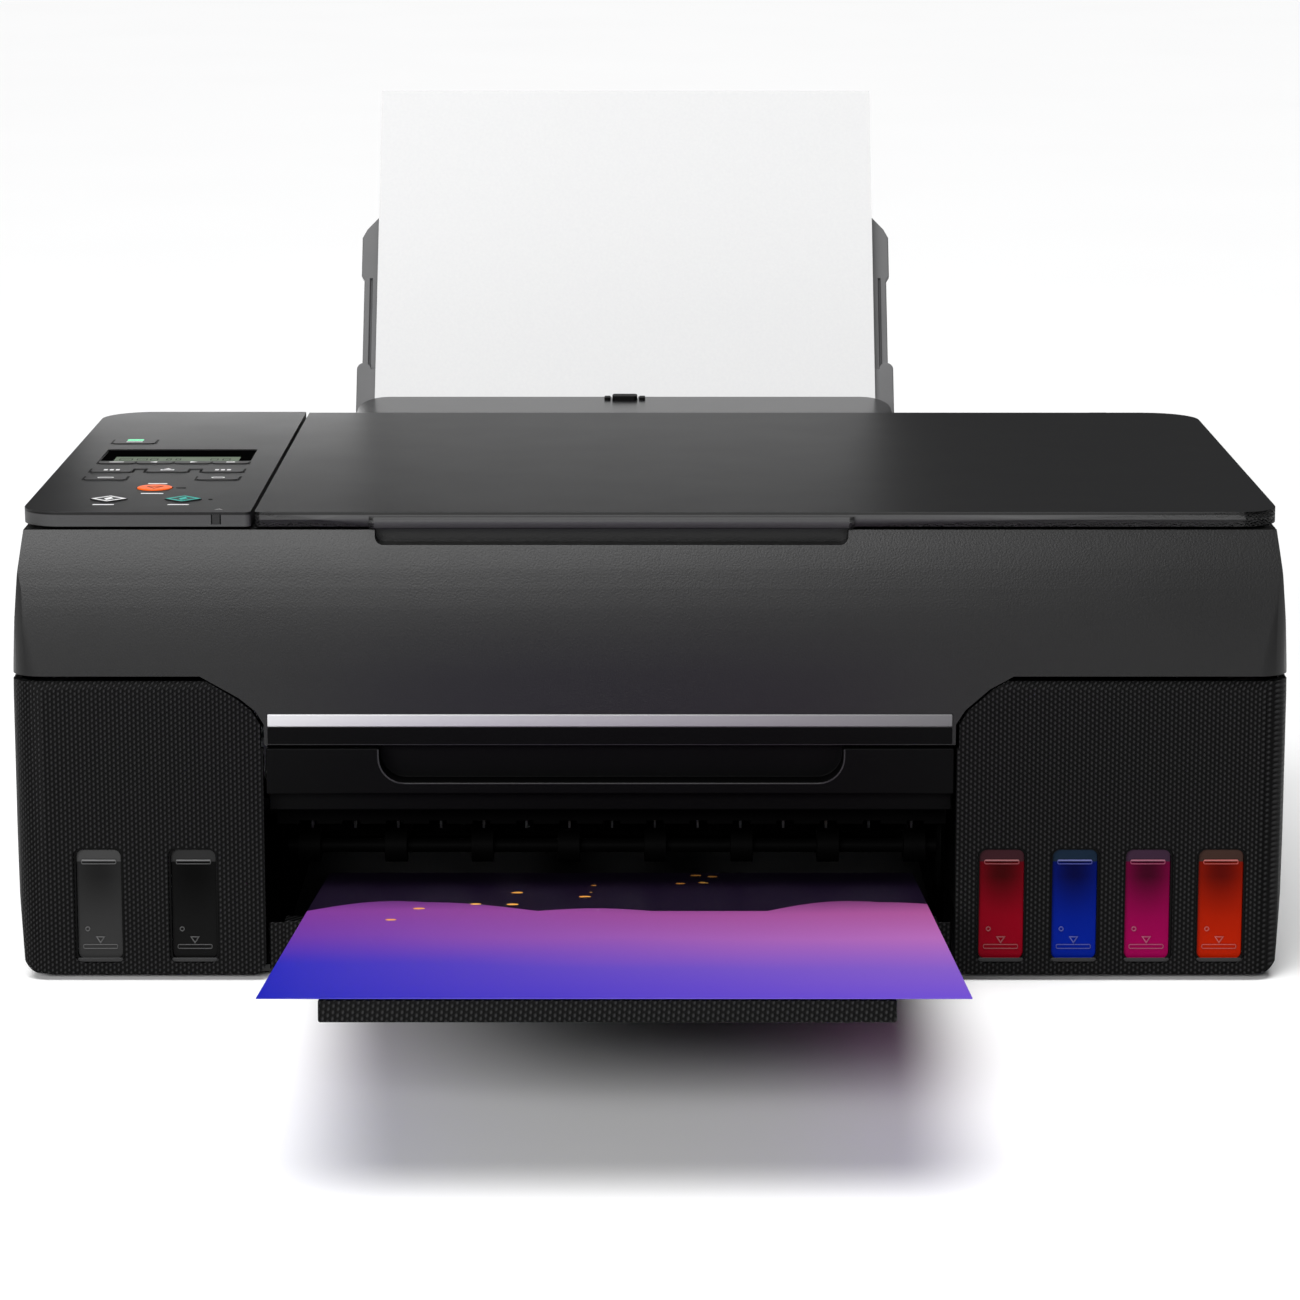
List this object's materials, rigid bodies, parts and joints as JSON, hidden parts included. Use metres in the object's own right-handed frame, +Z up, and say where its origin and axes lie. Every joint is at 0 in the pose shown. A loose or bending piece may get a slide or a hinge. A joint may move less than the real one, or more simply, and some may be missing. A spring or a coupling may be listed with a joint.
{
  "type": "inkjet printer",
  "caption": "Flat-topped all-in-one inkjet printer with refillable ink tanks in front bays, a lift-up scanner unit, rear paper feed, sliding output tray and a keyed control panel.",
  "frame": {"origin": "centre of the body's footprint, on the surface that its rubber feet rest on", "axes": "+Z up, +X to the right as seen from the front, +Y from the front face to the rear"},
  "size_m": [0.445, 0.6595, 0.2846],
  "materials": {
    "black_shell": "satin",
    "gloss_black": "glossy",
    "textured_black": "fine chevron texture",
    "dark_plastic": "matte",
    "grey_plastic": "matte",
    "steel": "plain",
    "silver": "satin silver",
    "paper": "matt white",
    "print": "printed gloss",
    "rubber": "matte",
    "board": "solder mask",
    "glass": "clear",
    "tank": "translucent",
    "key": "satin",
    "stop": "satin orange",
    "key_white": "satin white",
    "key_teal": "satin teal"
  },
  "bodies": {
    "base": {"lower_housing": "black_shell", "rubber_feet": "rubber", "front_fascia": "textured_black", "grip_panel": "black_shell", "left_tank_bezel": "textured_black", "right_tank_bezel": "textured_black", "left_ink_tanks": "tank", "right_ink_tanks": "tank", "tank_caps": "dark_plastic", "tank_covers": "black_shell", "printer_frame": "steel", "carriage_motor": "steel", "carriage_belt": "rubber", "paper_motor": "steel", "platen": "dark_plastic", "star_wheel_bar": "dark_plastic", "capping_station": "grey_plastic", "main_board": "board", "power_supply": "grey_plastic", "rear_sockets": "dark_plastic", "rear_housing": "black_shell", "hinge_posts": "steel", "maintenance_cartridge": "grey_plastic"},
    "scanner_unit": {"scanner_housing": "black_shell", "scanner_glass": "glass", "control_panel": "gloss_black", "silver_trim": "silver"},
    "lid": {"document_lid": "gloss_black", "lid_pad": "paper"},
    "scan_head": {"scan_bar": "dark_plastic"},
    "power_key_body": {"power_key": "key"},
    "menu_key_1_body": {"menu_key_1": "key"},
    "menu_key_2_body": {"menu_key_2": "key"},
    "menu_key_3_body": {"menu_key_3": "key"},
    "menu_key_4_body": {"menu_key_4": "key"},
    "left_key_body": {"left_key": "key"},
    "ok_key_body": {"ok_key": "key"},
    "right_key_body": {"right_key": "key"},
    "back_key_body": {"back_key": "key"},
    "help_key_body": {"help_key": "key"},
    "stop_key_body": {"stop_key": "stop"},
    "mono_start_key_body": {"mono_start_key": "key_white"},
    "colour_start_key_body": {"colour_start_key": "key_teal"},
    "flap": {"feed_slot_cover": "gloss_black"},
    "support_low": {"paper_support": "grey_plastic"},
    "support_high": {"paper_support_extension": "grey_plastic"},
    "guide_left": {"paper_guide_left": "grey_plastic"},
    "guide_right": {"paper_guide_right": "grey_plastic"},
    "paper_stack": {"rear_paper": "paper"},
    "print": {"printed_sheet": "print"},
    "tray_inner": {"output_tray": "dark_plastic"},
    "tray_outer": {"tray_extension": "textured_black"},
    "carriage": {"print_carriage": "dark_plastic"},
    "belt_drive": {"drive_pulley": "grey_plastic"},
    "belt_idler": {"idler_pulley": "grey_plastic"},
    "feed": {"feed_roller": "grey_plastic"},
    "eject": {"eject_roller": "grey_plastic"},
    "stars": {"star_wheels": "steel"},
    "pickup": {"pickup_roller": "rubber"},
    "rear_door": {"maintenance_cover": "black_shell"}
  },
  "joints": [
    {"name": "scanner_lift", "type": "hinge", "parent": "base", "child": "scanner_unit", "pos_m": [0, 0.076, 0.1452], "axis": [1, 0, 0], "range_deg": [-30, 0]},
    {"name": "lid_hinge", "type": "hinge", "parent": "scanner_unit", "child": "lid", "pos_m": [0, 0.0847, 0.1635], "axis": [-1, 0, 0], "range_deg": [0, 75]},
    {"name": "scan_travel", "type": "slide", "parent": "scanner_unit", "child": "scan_head", "axis": [1, 0, 0], "range_m": [0, 0.27]},
    {"name": "power_press", "type": "slide", "parent": "scanner_unit", "child": "power_key_body", "axis": [0, 0, -1], "range_m": [0, 0.0008], "stiffness_N_per_m": 1500},
    {"name": "menu_1_press", "type": "slide", "parent": "scanner_unit", "child": "menu_key_1_body", "axis": [0, 0, -1], "range_m": [0, 0.0008], "stiffness_N_per_m": 1500},
    {"name": "menu_2_press", "type": "slide", "parent": "scanner_unit", "child": "menu_key_2_body", "axis": [0, 0, -1], "range_m": [0, 0.0008], "stiffness_N_per_m": 1500},
    {"name": "menu_3_press", "type": "slide", "parent": "scanner_unit", "child": "menu_key_3_body", "axis": [0, 0, -1], "range_m": [0, 0.0008], "stiffness_N_per_m": 1500},
    {"name": "menu_4_press", "type": "slide", "parent": "scanner_unit", "child": "menu_key_4_body", "axis": [0, 0, -1], "range_m": [0, 0.0008], "stiffness_N_per_m": 1500},
    {"name": "left_press", "type": "slide", "parent": "scanner_unit", "child": "left_key_body", "axis": [0, 0, -1], "range_m": [0, 0.0008], "stiffness_N_per_m": 1500},
    {"name": "ok_press", "type": "slide", "parent": "scanner_unit", "child": "ok_key_body", "axis": [0, 0, -1], "range_m": [0, 0.0008], "stiffness_N_per_m": 1500},
    {"name": "right_press", "type": "slide", "parent": "scanner_unit", "child": "right_key_body", "axis": [0, 0, -1], "range_m": [0, 0.0008], "stiffness_N_per_m": 1500},
    {"name": "back_press", "type": "slide", "parent": "scanner_unit", "child": "back_key_body", "axis": [0, 0, -1], "range_m": [0, 0.0008], "stiffness_N_per_m": 1500},
    {"name": "help_press", "type": "slide", "parent": "scanner_unit", "child": "help_key_body", "axis": [0, 0, -1], "range_m": [0, 0.0008], "stiffness_N_per_m": 1500},
    {"name": "stop_press", "type": "slide", "parent": "scanner_unit", "child": "stop_key_body", "axis": [0, 0, -1], "range_m": [0, 0.0008], "stiffness_N_per_m": 1500},
    {"name": "mono_start_press", "type": "slide", "parent": "scanner_unit", "child": "mono_start_key_body", "axis": [0, 0, -1], "range_m": [0, 0.0008], "stiffness_N_per_m": 1500},
    {"name": "colour_start_press", "type": "slide", "parent": "scanner_unit", "child": "colour_start_key_body", "axis": [0, 0, -1], "range_m": [0, 0.0008], "stiffness_N_per_m": 1500},
    {"name": "slot_cover_hinge", "type": "hinge", "parent": "base", "child": "flap", "pos_m": [0, 0.1035, 0.1602], "axis": [1, 0, 0], "range_deg": [0, 95]},
    {"name": "support_slide", "type": "slide", "parent": "base", "child": "support_low", "axis": [0, 0.515, 0.8572], "range_m": [-0.012, 0]},
    {"name": "support_extension_slide", "type": "slide", "parent": "support_low", "child": "support_high", "axis": [0, 0.515, 0.8572], "range_m": [-0.085, 0]},
    {"name": "guide_left_slide", "type": "slide", "parent": "base", "child": "guide_left", "axis": [1, 0, 0], "range_m": [-0.003, 0]},
    {"name": "guide_right_slide", "type": "slide", "parent": "base", "child": "guide_right", "axis": [1, 0, 0], "range_m": [0, 0.003]},
    {"name": "paper_lift", "type": "slide", "parent": "base", "child": "paper_stack", "axis": [0, 0.515, 0.8572], "range_m": [0, 0.12]},
    {"name": "sheet_out", "type": "slide", "parent": "base", "child": "print", "axis": [0, -0.9929, 0.1191], "range_m": [0, 0.06]},
    {"name": "tray_slide", "type": "slide", "parent": "base", "child": "tray_inner", "axis": [0, 0.9929, -0.1191], "range_m": [0, 0.12]},
    {"name": "tray_extension_slide", "type": "slide", "parent": "tray_inner", "child": "tray_outer", "axis": [0, 0.9929, -0.1191], "range_m": [0, 0.117]},
    {"name": "carriage_travel", "type": "slide", "parent": "base", "child": "carriage", "axis": [1, 0, 0], "range_m": [-0.28, 0]},
    {"name": "drive_pulley_turn", "type": "hinge", "parent": "base", "child": "belt_drive", "pos_m": [0.186, -0.034, 0.082], "axis": [0, 1, 0], "range_deg": [-5, 2679]},
    {"name": "idler_pulley_turn", "type": "hinge", "parent": "base", "child": "belt_idler", "pos_m": [-0.186, -0.034, 0.082], "axis": [0, 1, 0], "range_deg": [-5, 2679]},
    {"name": "feed_roller_turn", "type": "hinge", "parent": "base", "child": "feed", "pos_m": [0, -0.012, 0.031], "axis": [1, 0, 0], "continuous": true},
    {"name": "eject_roller_turn", "type": "hinge", "parent": "base", "child": "eject", "pos_m": [0, -0.112, 0.035], "axis": [1, 0, 0], "continuous": true},
    {"name": "star_wheels_turn", "type": "hinge", "parent": "base", "child": "stars", "pos_m": [0, -0.112, 0.046], "axis": [1, 0, 0], "continuous": true},
    {"name": "pickup_roller_turn", "type": "hinge", "parent": "base", "child": "pickup", "pos_m": [0, 0.08138, 0.04805], "axis": [1, 0, 0], "continuous": true},
    {"name": "maintenance_cover_hinge", "type": "hinge", "parent": "base", "child": "rear_door", "pos_m": [0, 0.16875, 0.0092], "axis": [-1, 0, 0], "range_deg": [0, 90]}
  ],
  "couplings": [
    {"joint": "guide_right_slide", "follows": "guide_left_slide", "ratio": -1},
    {"joint": "drive_pulley_turn", "follows": "carriage_travel", "rad_per_m": -166.67},
    {"joint": "idler_pulley_turn", "follows": "carriage_travel", "rad_per_m": -166.67},
    {"joint": "eject_roller_turn", "follows": "feed_roller_turn", "ratio": 1.25},
    {"joint": "star_wheels_turn", "follows": "feed_roller_turn", "ratio": -1.6304}
  ]
}
